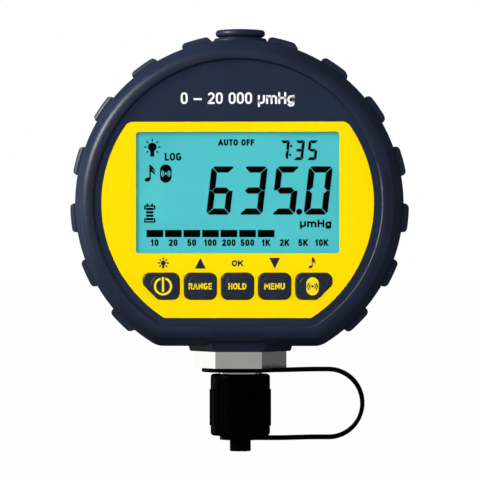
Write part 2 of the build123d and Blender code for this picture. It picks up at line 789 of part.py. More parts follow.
# Main board, notched round the case pillars and slotted for the frame's tabs
with BuildPart() as main_board:
    extrude(disc_with_flat(at(board_back), board_radius, board_flat, board_corner), amount=board_thickness)
    notches = dots(at(board_back), case_screw_places, screw_boss_diameter + 2 * board_notch)
    extrude(notches, amount=board_thickness, mode=Mode.SUBTRACT)
    screw_holes = dots(at(board_back), board_screw_places, board_screw_diameter + 2 * board_hole_fit)
    extrude(screw_holes, amount=board_thickness, mode=Mode.SUBTRACT)
    with BuildSketch(at(board_back)):
        with Locations((0, view_centre)):
            with GridLocations(frame_tab_spacing, tab_rows, 2, 2):
                Rectangle(frame_tab_width + 2 * frame_tab_gap, frame_thickness + 2 * frame_tab_gap)
    extrude(amount=board_thickness, mode=Mode.SUBTRACT)
main_board.part.label = "main_board"
export_step(main_board.part, "parts/main_board.step")

# Five keys, each with the plunger and the body of its switch
for key_name, place in zip(key_names, key_places):
    with BuildPart() as keycap:
        extrude(key_outline(at(key_flange_front), place, -key_gap), amount=key_top - key_flange_front)
        fillet(keycap.faces().sort_by(Axis.Y)[0].edges(), key_top_rounding)
        disc = dots(at(key_top - key_top_rounding), [(place, key_row)], key_disc_diameter)
        extrude(disc, amount=key_top_rounding + key_disc_height)
        fillet(keycap.faces().sort_by(Axis.Y)[0].edges(), key_disc_rounding)
        with BuildSketch(at(key_flange_back)):
            with Locations((place, key_row)):
                Rectangle(key_flange_width, key_height + 2 * key_flange)
        extrude(amount=key_flange_thickness)
        post = dots(at(plunger_top), [(place, key_row)], key_post_diameter)
        extrude(post, amount=key_flange_back - plunger_top)
    keycap.part.label = f"{key_name}_key"
    export_step(keycap.part, f"parts/{key_name}_key.step")

    with BuildPart() as plunger:
        rod = dots(at(switch_top - plunger_depth), [(place, key_row)], plunger_diameter)
        extrude(rod, amount=plunger_depth + plunger_proud)
    plunger.part.label = f"{key_name}_plunger"
    export_step(plunger.part, f"parts/{key_name}_plunger.step")

    with BuildPart() as switch:
        with BuildSketch(at(board_front)):
            with Locations((place, key_row)):
                Rectangle(switch_size, switch_size)
        extrude(amount=switch_height)
        chamfer(switch.edges().filter_by(Axis.Y), switch_rounding)
        well = dots(at(switch_top), [(place, key_row)], plunger_diameter + 2 * plunger_fit)
        extrude(well, amount=-plunger_depth - plunger_room, mode=Mode.SUBTRACT)
    switch.part.label = f"{key_name}_switch"
    export_step(switch.part, f"parts/{key_name}_switch.step")

# Parts on the back of the main board
with BuildPart() as buzzer:
    extrude(dots(at(board_back), [(buzzer_x, parts_row)], buzzer_diameter), amount=-buzzer_height)
    vent = dots(at(board_back - buzzer_height), [(buzzer_x, parts_row)], buzzer_vent)
    extrude(vent, amount=buzzer_vent_depth, mode=Mode.SUBTRACT)
buzzer.part.label = "buzzer"
export_step(buzzer.part, "parts/buzzer.step")

with BuildPart() as radio_module:
    with BuildSketch(at(board_back)):
        with Locations((radio_x, parts_row)):
            Rectangle(radio_width, radio_height)
    extrude(amount=-radio_thickness)
radio_module.part.label = "radio_module"
export_step(radio_module.part, "parts/radio_module.step")

with BuildPart() as processor:
    with BuildSketch(at(board_back)):
        with Locations((processor_x, parts_row)):
            Rectangle(processor_size, processor_size)
    extrude(amount=-processor_thickness)
processor.part.label = "processor"
export_step(processor.part, "parts/processor.step")

# Battery, a 9 V block lying with its two studs to the left, its snap and the two leads
battery_head = Plane(
    origin=(battery_end, -battery_middle, head_height + battery_z),
    x_dir=(0, 0, 1),
    z_dir=(-1, 0, 0),
)
stud_places = [(side * battery_stud_spacing / 2, 0) for side in (1, -1)]

with BuildPart() as battery:
    with BuildSketch(battery_head):
        RectangleRounded(battery_width, battery_thickness, battery_rounding)
    extrude(amount=-battery_length)
    for stud_place, stud_diameter in zip(stud_places, battery_stud_diameters):
        extrude(dots(battery_head, [stud_place], stud_diameter), amount=battery_stud_height)
battery.part.label = "battery"
export_step(battery.part, "parts/battery.step")

with BuildPart() as battery_snap:
    with BuildSketch(battery_head.offset(snap_gap)):
        RectangleRounded(snap_length, snap_width, snap_rounding)
    extrude(amount=snap_thickness)
    for stud_place, stud_diameter in zip(stud_places, battery_stud_diameters):
        socket = dots(battery_head, [stud_place], stud_diameter + 2 * snap_fit)
        extrude(socket, amount=battery_stud_height + snap_fit, mode=Mode.SUBTRACT)
battery_snap.part.label = "battery_snap"
export_step(battery_snap.part, "parts/battery_snap.step")

lead_bend_x = snap_end - lead_run

with BuildPart() as battery_leads:
    for side in (1, -1):
        lead_level = head_height + lead_z + side * lead_spacing / 2
        with BuildLine() as lead_path:
            FilletPolyline(
                (snap_end, -battery_middle, lead_level),
                (lead_bend_x, -battery_middle, lead_level),
                (lead_bend_x, -board_back, lead_level),
                radius=lead_bend,
            )
        with BuildSketch(Plane(origin=(snap_end, -battery_middle, lead_level), z_dir=(-1, 0, 0))):
            Circle(lead_diameter / 2)
        sweep(path=lead_path.line)
battery_leads.part.label = "battery_leads"
export_step(battery_leads.part, "parts/battery_leads.step")

# Port fitting: flare nose, thread, shoulder, strap groove, hexagon and the spigot inside the head
with BuildPart() as port_fitting:
    with BuildSketch(Plane.XZ):
        with BuildLine():
            Polyline(
                (port_bore / 2, 0),
                (nose_tip_diameter / 2, 0),
                (nose_tip_diameter / 2, nose_tip_height),
                (nose_relief_diameter / 2, cone_top),
                (nose_relief_diameter / 2, thread_bottom),
                (thread_diameter / 2 - thread_chamfer, thread_bottom),
                (thread_diameter / 2, thread_bottom + thread_chamfer),
                (thread_diameter / 2, shoulder_bottom),
                (shoulder_diameter / 2, shoulder_bottom),
                (shoulder_diameter / 2, shoulder_bottom + shoulder_height),
                (neck_diameter / 2, shoulder_bottom + shoulder_height),
                (neck_diameter / 2, hex_bottom),
                (spigot_diameter / 2, hex_bottom),
                (spigot_diameter / 2, spigot_top),
                (sensor_seat_diameter / 2, spigot_top),
                (sensor_seat_diameter / 2, sensor_seat),
                (port_bore / 2, sensor_seat),
                close=True,
            )
        make_face()
    revolve(axis=Axis.Z)
    with BuildSketch(Plane.XY.offset(hex_bottom)):
        RegularPolygon(hex_flats / 2, 6, major_radius=False)
        Circle(neck_diameter / 2, mode=Mode.SUBTRACT)
    extrude(amount=hex_top - hex_bottom)
port_fitting.part.label = "port_fitting"
export_step(port_fitting.part, "parts/port_fitting.step")

with BuildPart() as lock_nut:
    with BuildSketch(Plane.XY.offset(housing_floor)):
        RegularPolygon(nut_flats / 2, 6, major_radius=False)
        Circle(spigot_diameter / 2 + screw_fit, mode=Mode.SUBTRACT)
    extrude(amount=nut_height)
lock_nut.part.label = "lock_nut"
export_step(lock_nut.part, "parts/lock_nut.step")

# Sensor: header with its bead in the bore, seal under it, small board above it, and the link
bead_middle = header_bottom - bead_drop

with BuildPart() as sensor_header:
    seat_width = sensor_seat_diameter - 2 * header_fit
    extrude(dots(Plane.XY.offset(header_bottom), [(0, 0)], seat_width), amount=header_height)
    with BuildSketch(Plane.XY.offset(header_top)):
        with PolarLocations(header_pin_circle / 2, header_pin_count):
            Circle(header_pin_diameter / 2)
    extrude(amount=sensor_board_top + header_pin_end - header_top)
    extrude(dots(Plane.XY.offset(bead_middle), [(0, 0)], bead_wire_diameter), amount=bead_drop)
    with Locations((0, 0, bead_middle)):
        Sphere(bead_diameter / 2)
sensor_header.part.label = "sensor_header"
export_step(sensor_header.part, "parts/sensor_header.step")

with BuildPart() as sensor_seal:
    with Locations((0, 0, sensor_seat + seal_section / 2)):
        Torus((sensor_seat_diameter - seal_section) / 2 - header_fit, seal_section / 2)
sensor_seal.part.label = "sensor_seal"
export_step(sensor_seal.part, "parts/sensor_seal.step")

sensor_board_front = board_back - sensor_board_gap

with BuildPart() as sensor_board:
    with BuildSketch(Plane.XY.offset(sensor_board_bottom)):
        Rectangle(sensor_board_width, 2 * sensor_board_front)
        with PolarLocations(header_pin_circle / 2, header_pin_count):
            Circle(header_pin_diameter / 2 + screw_fit, mode=Mode.SUBTRACT)
    extrude(amount=sensor_board_thickness)
sensor_board.part.label = "sensor_board"
export_step(sensor_board.part, "parts/sensor_board.step")

with BuildPart() as board_link:
    with BuildSketch(Plane.XY.offset(sensor_board_top)):
        with Locations((0, -board_back)):
            Rectangle(link_width, link_depth, align=(Align.CENTER, Align.MIN))
    extrude(amount=link_height)
board_link.part.label = "board_link"
export_step(board_link.part, "parts/board_link.step")

# Flare cap with its grip band and the pin that holds the strap
cap_outline = [
    (0, pin_top - pin_length),
    (pin_diameter / 2, pin_top - pin_length),
    (pin_diameter / 2, pin_top),
    (pin_neck_diameter / 2, pin_top),
    (pin_neck_diameter / 2, cap_bottom),
    (cap_diameter / 2, cap_bottom),
    (cap_diameter / 2, cap_grip_bottom),
    (cap_grip_diameter / 2, cap_grip_bottom),
    (cap_grip_diameter / 2, cap_grip_top),
    (cap_diameter / 2, cap_grip_top),
    (cap_diameter / 2, cap_top),
    (cap_bore / 2, cap_top),
    (cap_bore / 2, cap_floor),
    (0, cap_floor),
]

with BuildPart() as flare_cap:
    with BuildSketch(Plane.XZ) as cap_half:
        with BuildLine():
            Polyline(*cap_outline, close=True)
        make_face()
        for corner_height in (cap_top, cap_bottom):
            rim = cap_half.vertices().sort_by_distance((cap_diameter / 2, corner_height, 0))[0]
            fillet(rim, cap_rounding)
        pin_rim = cap_half.vertices().sort_by_distance((pin_diameter / 2, pin_top - pin_length, 0))[0]
        fillet(pin_rim, pin_rounding)
        mouth = cap_half.vertices().sort_by_distance((cap_bore / 2, cap_top, 0))[0]
        chamfer(mouth, cap_mouth_chamfer)
    revolve(axis=Axis.Z)
    with BuildSketch(Plane.XY.offset(cap_grip_bottom)):
        with PolarLocations(cap_grip_diameter / 2, cap_groove_count):
            Rectangle(2 * cap_groove_depth, cap_groove_width)
    extrude(amount=cap_grip_top - cap_grip_bottom, mode=Mode.SUBTRACT)
flare_cap.part.label = "flare_cap"
export_step(flare_cap.part, "parts/flare_cap.step")

with BuildPart() as cap_gasket:
    seal_disc = dots(Plane.XY.offset(cap_floor), [(0, 0)], cap_bore - 2 * gasket_fit)
    extrude(seal_disc, amount=gasket_thickness)
cap_gasket.part.label = "cap_gasket"
export_step(cap_gasket.part, "parts/cap_gasket.step")

# Strap: a ring round the neck of the port, a flat band bent back on itself, and an eye on the pin
strap_upper = strap_top - strap_thickness / 2
strap_lower = strap_foot + strap_thickness / 2
bend_radius = (strap_upper - strap_lower) / 2
bend_middle = (strap_upper + strap_lower) / 2

with BuildPart() as cap_strap:
    with BuildSketch(Plane.XZ):
        with Locations((strap_reach, bend_middle)):
            Circle(bend_radius + strap_thickness / 2)
        with Locations((0, bend_middle)):
            Rectangle(
                strap_reach,
                2 * bend_radius + strap_thickness,
                align=(Align.MIN, Align.CENTER),
            )
        with Locations((strap_reach, bend_middle)):
            Circle(bend_radius - strap_thickness / 2, mode=Mode.SUBTRACT)
        with Locations((0, bend_middle)):
            Rectangle(
                strap_reach,
                2 * bend_radius - strap_thickness,
                align=(Align.MIN, Align.CENTER),
                mode=Mode.SUBTRACT,
            )
    extrude(amount=strap_width / 2, both=True)
    extrude(dots(Plane.XY.offset(strap_top), [(0, 0)], strap_ring_diameter), amount=-strap_thickness)
    extrude(dots(Plane.XY.offset(strap_foot), [(0, 0)], strap_eye_diameter), amount=strap_thickness)
    ring_hole = dots(Plane.XY.offset(strap_top), [(0, 0)], neck_diameter + 2 * strap_gap)
    extrude(ring_hole, amount=-strap_thickness, mode=Mode.SUBTRACT)
    eye_hole = dots(Plane.XY.offset(strap_foot), [(0, 0)], pin_neck_diameter + 2 * strap_gap)
    extrude(eye_hole, amount=strap_thickness, mode=Mode.SUBTRACT)
cap_strap.part.label = "cap_strap"
export_step(cap_strap.part, "parts/cap_strap.step")
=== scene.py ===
import json
from math import cos, pi, radians, sin, tan

import bpy
import numpy as np
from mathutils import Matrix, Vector


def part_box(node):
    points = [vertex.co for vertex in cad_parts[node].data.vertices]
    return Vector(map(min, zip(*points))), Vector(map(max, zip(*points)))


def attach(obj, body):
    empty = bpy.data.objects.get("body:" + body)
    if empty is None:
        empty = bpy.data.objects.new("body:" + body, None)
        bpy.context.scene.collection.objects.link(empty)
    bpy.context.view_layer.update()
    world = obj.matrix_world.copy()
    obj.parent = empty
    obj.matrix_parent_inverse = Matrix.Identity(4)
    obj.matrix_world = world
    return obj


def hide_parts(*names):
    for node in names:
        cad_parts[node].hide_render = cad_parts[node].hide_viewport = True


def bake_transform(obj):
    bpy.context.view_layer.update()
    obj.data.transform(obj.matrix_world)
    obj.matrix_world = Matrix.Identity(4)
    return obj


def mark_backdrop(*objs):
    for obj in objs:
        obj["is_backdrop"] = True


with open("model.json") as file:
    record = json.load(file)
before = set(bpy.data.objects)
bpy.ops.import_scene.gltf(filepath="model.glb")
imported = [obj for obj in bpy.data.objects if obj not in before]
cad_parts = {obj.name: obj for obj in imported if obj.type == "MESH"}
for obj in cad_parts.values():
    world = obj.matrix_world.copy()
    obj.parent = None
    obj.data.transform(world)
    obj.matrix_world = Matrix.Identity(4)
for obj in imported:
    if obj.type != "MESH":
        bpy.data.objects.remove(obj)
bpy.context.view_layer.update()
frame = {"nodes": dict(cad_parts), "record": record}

# Sizes are in millimetres, in the frame's own axes: +Z up, the display faces -Y.
MM = 0.001

# Camera, from the photograph
camera_turn = 2.5           # degrees towards +X
camera_distance = 1200.0
camera_aim = (-0.09, 0.0, 49.9)
picture_width = 133.2       # what the picture spans at the aim
sensor_width = 36.0

# Floor and lights
floor_level = -26.0         # under the cap when it is off
floor_size = 12000.0

# Print
ink = 0.02                  # thickness of every printed shape
ink_lift = 0.004            # its back over the surface that carries it
window_border = 1.9         # window plate past the view


def box_mm(node):
    """Lowest and highest corner of a node, in millimetres."""
    low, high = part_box(node)
    return np.array(low) / MM, np.array(high) / MM


housing_low, housing_high = box_mm("front_housing")
window_low, window_high = box_mm("display_window")
label_low, label_high = box_mm("face_label")
glass_low, glass_high = box_mm("lcd_glass")
strap_low, strap_high = box_mm("cap_strap")
head_middle = housing_high[2] - housing_high[0]
face_front = label_low[1]
view_middle = (window_low[2] + window_high[2]) / 2

# Camera
camera = bpy.data.objects.new("camera", bpy.data.cameras.new("camera"))
bpy.context.scene.collection.objects.link(camera)
turn = radians(camera_turn)
aim = Vector(camera_aim) * MM
camera.location = aim + Vector((sin(turn), -cos(turn), 0.0)) * camera_distance * MM
camera.rotation_euler = (pi / 2, 0.0, turn)
camera.data.sensor_width = sensor_width
camera.data.lens = sensor_width * camera_distance / picture_width
camera.data.clip_start = 0.01
camera.data.clip_end = 30.0
bpy.context.scene.camera = camera
bpy.context.scene.view_settings.view_transform = "Standard"


def linear(code):
    """A colour written as sRGB hex, in the linear values that shaders take."""
    parts = [int(code[place:place + 2], 16) / 255 for place in (0, 2, 4)]
    return [part / 12.92 if part <= 0.04045 else ((part + 0.055) / 1.055) ** 2.4 for part in parts] + [1.0]


def add(tree, kind, sockets=(), **settings):
    """Adds a node. Its settings are properties, and sockets maps its inputs to a value or to another node's output."""
    made = tree.nodes.new(kind)
    for name, value in settings.items():
        setattr(made, name, value)
    for name, value in dict(sockets).items():
        if isinstance(value, bpy.types.NodeSocket):
            tree.links.new(value, made.inputs[name])
        else:
            made.inputs[name].default_value = value
    return made


def new_material(name):
    """An empty material with its output and the piece's own place, in metres."""
    made = bpy.data.materials.new(name)
    made.use_nodes = True
    tree = made.node_tree
    tree.nodes.clear()
    output = add(tree, "ShaderNodeOutputMaterial")
    place = add(tree, "ShaderNodeTexCoord").outputs["Object"]
    return made, tree, output, place


def noise(tree, place, grain, detail=2.0):
    """Noise whose lumps are about grain millimetres across."""
    return add(tree, "ShaderNodeTexNoise", {"Vector": place, "Scale": 1 / (grain * MM), "Detail": detail}).outputs["Fac"]


def blend_tones(tree, share, low, high, sharp=(0.3, 0.7)):
    """A colour that goes from one sRGB hex tone to another as share goes between the two sharp values."""
    ramp = add(tree, "ShaderNodeValToRGB", {"Fac": share})
    ramp.color_ramp.elements[0].position = sharp[0]
    ramp.color_ramp.elements[0].color = linear(low)
    ramp.color_ramp.elements[1].position = sharp[1]
    ramp.color_ramp.elements[1].color = linear(high)
    return ramp.outputs["Color"]


def spread(tree, share, low, high):
    """A number from low to high as share goes from 0.3 to 0.7, where most of a noise lies."""
    sockets = {"Value": share, "From Min": 0.3, "From Max": 0.7, "To Min": low, "To Max": high}
    return add(tree, "ShaderNodeMapRange", sockets).outputs["Result"]


def skin(name, tones, patch, rough, grain, rise, **shader):
    """A material whose colour wanders between two tones in patches, with a grain that moves its roughness and lifts it.

    patch and grain are in millimetres, rise is the height of the grain in millimetres, and shader sets constants.
    """
    made, tree, output, place = new_material(name)
    fine = noise(tree, place, grain, 3.0)
    bump = add(tree, "ShaderNodeBump", {"Height": fine, "Distance": rise * MM, "Strength": 1.0})
    sockets = {
        "Base Color": blend_tones(tree, noise(tree, place, patch), *tones),
        "Roughness": spread(tree, fine, *rough),
        "Normal": bump.outputs["Normal"],
    }
    sockets.update({key.replace("_", " "): value for key, value in shader.items()})
    principled = add(tree, "ShaderNodeBsdfPrincipled", sockets)
    tree.links.new(principled.outputs["BSDF"], output.inputs["Surface"])
    return made


# Moulded TPE rubber: a soft satin sheen that widens every highlight. Its real grain is under 0.1 mm, drawn coarser.
boot_rubber = skin("moulded_tpe_rubber", ("111A2D", "162034"), 9.0, (0.4, 0.48), 0.45, 0.006, Specular_IOR_Level=0.16)
# Moulded ABS, spark-eroded texture: matt, with a fine pebble that breaks up the light.
housing_navy = skin("moulded_abs", ("1A2438", "1E283C"), 14.0, (0.5, 0.62), 0.4, 0.010, Specular_IOR_Level=0.07)
# Polyester film, printed on its back and hard-coated: even, saturated, slightly satin.
label_yellow = skin("printed_polyester_film", ("FBD900", "FFDC00"), 25.0, (0.45, 0.55), 0.7, 0.002, Specular_IOR_Level=0.02)
# Polyurethane keycap paint over polycarbonate: smoother than the housing, with soft edge highlights.
key_navy = skin("painted_polycarbonate", ("121B2B", "162030"), 5.0, (0.34, 0.42), 0.35, 0.004, Specular_IOR_Level=0.22)
# Plated and tinned metals for the screws, frame, shield can and header: tone wanders in patches over a fine grain.
screw_steel = skin("zinc_plated_steel", ("B4B5B6", "C4C5C2"), 1.2, (0.3, 0.42), 0.25, 0.006, Metallic=0.6)
frame_steel = skin("tinned_steel_sheet", ("A2A4A6", "B4B5B4"), 4.0, (0.3, 0.45), 0.6, 0.004, Metallic=1.0)
module_metal = skin("tinned_shield_can", ("A4A5A8", "B2B3B5"), 2.5, (0.28, 0.4), 0.5, 0.003, Metallic=1.0)
header_metal = skin("gold_flashed_header", ("A89468", "BBA673"), 1.5, (0.25, 0.38), 0.3, 0.002, Metallic=1.0)
# Diffusing acrylic: white and soft.
guide_white = skin("diffusing_acrylic", ("E6EAEC", "F2F4F5"), 8.0, (0.3, 0.4), 0.8, 0.002)
plunger_white = skin("moulded_acetal", ("DAD9D4", "E6E5E0"), 2.0, (0.4, 0.5), 0.3, 0.004)
# Glass-filled nylon and other black moulded parts: slightly grey where light grazes.
black_plastic = skin("moulded_nylon", ("17171A", "1E1E21"), 3.0, (0.45, 0.6), 0.3, 0.008)
battery_case = skin("lacquered_steel_jacket", ("2C2D31", "35363B"), 10.0, (0.28, 0.36), 0.6, 0.004, Metallic=0.6)
lead_red = skin("pvc_insulation", ("9A1A1A", "A82020"), 3.0, (0.35, 0.45), 0.4, 0.003)
seal_rubber = skin("nitrile_rubber", ("131313", "1A1A1A"), 2.5, (0.55, 0.7), 0.3, 0.010)
# Moulded polypropylene cap: deep black, nearly matt, its knurl is real geometry.
cap_black = skin("moulded_polypropylene", ("000000", "010101"), 4.0, (0.28, 0.36), 0.4, 0.004, Specular_IOR_Level=0.01)
# Moulded polyurethane strap: black, with a faint sheen along its edges.
strap_black = skin("moulded_polyurethane", ("000000", "010102"), 6.0, (0.3, 0.4), 0.5, 0.004, Specular_IOR_Level=0.02)
# Screen-printed ink: flat, with the slight mottle of a thick deposit.
navy_ink = skin("navy_screen_ink", ("171E2E", "1E2637"), 1.5, (0.5, 0.6), 0.3, 0.002, Specular_IOR_Level=0.06)
yellow_ink = skin("yellow_screen_ink", ("FADA10", "FFE21A"), 1.5, (0.5, 0.6), 0.3, 0.002, Specular_IOR_Level=0.06)
white_ink = skin("white_screen_ink", ("F2F2F2", "FFFFFF"), 1.5, (0.5, 0.6), 0.3, 0.002, Specular_IOR_Level=0.2)


def milled_nickel():
    """Nickel-plated brass: bright, with fine marks of the cutter along the level that stretch the reflections upright."""
    made, tree, output, place = new_material("nickel_plated_brass")
    squeezed = add(tree, "ShaderNodeMapping", {"Vector": place, "Scale": (0.15, 0.15, 1.0)}).outputs["Vector"]
    marks = noise(tree, squeezed, 0.18, 2.0)
    bump = add(tree, "ShaderNodeBump", {"Height": marks, "Distance": 0.0008 * MM, "Strength": 1.0})
    sockets = {
        "Base Color": blend_tones(tree, noise(tree, place, 5.0), "EAEAE8", "EFEFED"),
        "Roughness": spread(tree, marks, 0.15, 0.2),
        "Metallic": 1.0,
        "Normal": bump.outputs["Normal"],
    }
    principled = add(tree, "ShaderNodeBsdfPrincipled", sockets)
    tree.links.new(principled.outputs["BSDF"], output.inputs["Surface"])
    return made


def clear_window():
    """Hard-coated clear polycarbonate: nothing to see but a faint reflection that grows where light grazes it."""
    made, tree, output, place = new_material("clear_polycarbonate")
    haze = noise(tree, place, 6.0)
    clear = add(tree, "ShaderNodeBsdfTransparent", {"Color": linear("FBFDFD")})
    gloss = add(tree, "ShaderNodeBsdfGlossy", {"Roughness": spread(tree, haze, 0.08, 0.14)})
    share = add(tree, "ShaderNodeFresnel", {"IOR": 1.12}).outputs["Fac"]
    mix = add(tree, "ShaderNodeMixShader", {"Fac": share, 1: clear.outputs["BSDF"], 2: gloss.outputs["BSDF"]})
    tree.links.new(mix.outputs["Shader"], output.inputs["Surface"])
    return made


def lit_display():
    """Liquid crystal cell with its light on: an even teal that glows, under a satin polariser with the faintest grid."""
    made, tree, output, place = new_material("lit_liquid_crystal_cell")
    tone = blend_tones(tree, noise(tree, place, 16.0), "40A3AA", "47AAAE")
    satin = noise(tree, place, 0.5, 2.0)
    bump = add(tree, "ShaderNodeBump", {"Height": satin, "Distance": 0.001 * MM, "Strength": 1.0})
    sockets = {
        "Base Color": tone,
        "Roughness": spread(tree, satin, 0.38, 0.48),
        "Specular IOR Level": 0.15,
        "Emission Color": tone,
        "Emission Strength": 0.53,
        "Normal": bump.outputs["Normal"],
    }
    principled = add(tree, "ShaderNodeBsdfPrincipled", sockets)
    tree.links.new(principled.outputs["BSDF"], output.inputs["Surface"])
    return made


def striped_connector():
    """Layered silicone connector: dark conducting layers between pale ones, 0.5 mm apart so that they show."""
    made, tree, output, place = new_material("layered_silicone")
    stripes = add(tree, "ShaderNodeTexWave", {"Vector": place, "Scale": 1 / (2 * pi * 0.1 * MM)}).outputs["Fac"]
    sockets = {
        "Base Color": blend_tones(tree, stripes, "2A2826", "B8AFA4", (0.4, 0.6)),
        "Roughness": spread(tree, noise(tree, place, 0.4), 0.5, 0.65),
    }
    principled = add(tree, "ShaderNodeBsdfPrincipled", sockets)
    tree.links.new(principled.outputs["BSDF"], output.inputs["Surface"])
    return made


def masked_board():
    """Glass-epoxy board under green solder mask: glossy, with paler lines where the copper runs under it."""
    made, tree, output, place = new_material("solder_masked_board")
    tracks = add(tree, "ShaderNodeTexBrick", {"Vector": place, "Scale": 1 / (6.0 * MM), "Mortar Size": 0.06})
    tracks.inputs["Color1"].default_value = linear("0F5A2A")
    tracks.inputs["Color2"].default_value = linear("105E2D")
    tracks.inputs["Mortar"].default_value = linear("2A8A4A")
    bump = add(tree, "ShaderNodeBump", {"Height": tracks.outputs["Fac"], "Distance": 0.02 * MM, "Strength": 1.0})
    sockets = {
        "Base Color": tracks.outputs["Color"],
        "Roughness": spread(tree, noise(tree, place, 1.5), 0.22, 0.34),
        "Normal": bump.outputs["Normal"],
    }
    principled = add(tree, "ShaderNodeBsdfPrincipled", sockets)
    tree.links.new(principled.outputs["BSDF"], output.inputs["Surface"])
    return made


def display_ink():
    """Darkened liquid crystal: black, with no gloss of its own."""
    made, tree, output, place = new_material("darkened_liquid_crystal")
    sockets = {
        "Base Color": blend_tones(tree, noise(tree, place, 2.0), "000000", "010101"),
        "Roughness": spread(tree, noise(tree, place, 0.4), 0.6, 0.7),
        "Specular IOR Level": 0.01,
    }
    principled = add(tree, "ShaderNodeBsdfPrincipled", sockets)
    tree.links.new(principled.outputs["BSDF"], output.inputs["Surface"])
    return made


finish_of_slot = {
    "boot_rubber": boot_rubber,
    "housing_navy": housing_navy,
    "screw_steel": screw_steel,
    "label_yellow": label_yellow,
    "window_clear": clear_window(),
    "lcd_teal": lit_display(),
    "frame_steel": frame_steel,
    "guide_white": guide_white,
    "connector_rubber": striped_connector(),
    "board_green": masked_board(),
    "black_plastic": black_plastic,
    "module_metal": module_metal,
    "battery_case": battery_case,
    "lead_red": lead_red,
    "port_nickel": milled_nickel(),
    "header_metal": header_metal,
    "seal_rubber": seal_rubber,
    "cap_black": cap_black,
    "strap_black": strap_black,
    "key_navy": key_navy,
    "plunger_white": plunger_white,
}
lcd_ink = display_ink()

# Every CAD node gets the finish of its slot
for part in frame["record"]["subparts"]:
    for place in frame["nodes"][part["node"]].material_slots:
        place.material = finish_of_slot[part["material_slot"]]


def new_piece(name, shells, material, body, smooth=False):
    """One mesh object from shells of (points in millimetres, faces), riding on a body with a slot's finish."""
    points = np.vstack([shell[0] for shell in shells]) * MM
    faces = []
    start = 0
    for shell_points, shell_faces in shells:
        faces += [[start + corner for corner in face] for face in shell_faces]
        start += len(shell_points)
    mesh = bpy.data.meshes.new(name)
    mesh.from_pydata(points.tolist(), [], faces)
    mesh.polygons.foreach_set("use_smooth", [smooth] * len(mesh.polygons))
    mesh.materials.append(material)
    mesh.update()
    piece = bpy.data.objects.new(name, mesh)
    bpy.context.scene.collection.objects.link(piece)
    if body:
        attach(piece, body)
    return piece


def wrapped(rows, columns, close_rows=False, close_columns=False, turned=False):
    """Faces of a grid of rows by columns of points, numbered row by row, closed or turned over where asked."""
    down = np.arange(rows if close_rows else rows - 1)
    across = np.arange(columns if close_columns else columns - 1)
    first, second = np.meshgrid(down, across, indexing="ij")
    here = first * columns + second
    right = first * columns + (second + 1) % columns
    below = (first + 1) % rows * columns + second
    corner = (first + 1) % rows * columns + (second + 1) % columns
    order = [here, below, corner, right] if turned else [here, right, corner, below]
    return np.stack(order, axis=-1).reshape(-1, 4).tolist()


def printed(outline, front, layer=0):
    """A flat printed shape: its outline (x, z) carried back from the front by the ink's thickness, with both ends closed."""
    outline = np.asarray(outline, float)
    following = np.roll(outline, -1, axis=0)
    if np.sum(outline[:, 0] * following[:, 1] - following[:, 0] * outline[:, 1]) < 0:
        outline = outline[::-1]
    count = len(outline)
    back = front - ink_lift - layer * ink
    top = np.column_stack([outline[:, 0], np.full(count, back - ink), outline[:, 1]])
    foot = np.column_stack([outline[:, 0], np.full(count, back), outline[:, 1]])
    sides = [[place, place + count, (place + 1) % count + count, (place + 1) % count] for place in range(count)]
    faces = [list(range(count)), list(range(2 * count - 1, count - 1, -1))] + sides
    return np.vstack([top, foot]), faces


def disc(x, z, radius, tall=1.0, count=40):
    """A round outline, or an oval one whose height is tall times its width."""
    angle = np.linspace(0, 2 * pi, count, endpoint=False)
    return np.column_stack([x + radius * np.cos(angle), z + radius * tall * np.sin(angle)])


def bar(x, z, width, height, lean=0.0):
    """A rectangle about (x, z), turned by lean degrees."""
    corners = np.array([(-width, -height), (width, -height), (width, height), (-width, height)]) / 2
    angle = radians(lean)
    turned = corners @ np.array([[cos(angle), sin(angle)], [-sin(angle), cos(angle)]])
    return turned + (x, z)


def arc_stroke(x, z, radius, stroke, start, end, count=40):
    """A stroke along an arc from start to end degrees: out along its outer edge and back along its inner one."""
    angle = np.radians(np.linspace(start, end, count))
    ring = np.column_stack([np.cos(angle), np.sin(angle)])
    return np.vstack([ring * (radius + stroke / 2), ring[::-1] * (radius - stroke / 2)]) + (x, z)


def capsule(x, z, width, height, count=20):
    """An upright capsule: two half rounds joined by straight sides."""
    radius = width / 2
    angle = np.linspace(0, pi, count)
    half = np.column_stack([np.cos(angle), np.sin(angle)]) * radius
    upper = half + (x, z + height / 2 - radius)
    lower = -half + (x, z - height / 2 + radius)
    return np.vstack([upper, lower])


def bow(x, z, wide, tall, start, end, count=13):
    """Points along an oval arc about (x, z), from start to end degrees."""
    angle = np.radians(np.linspace(start, end, count))
    return np.column_stack([x + wide * np.cos(angle), z + tall * np.sin(angle)]).tolist()


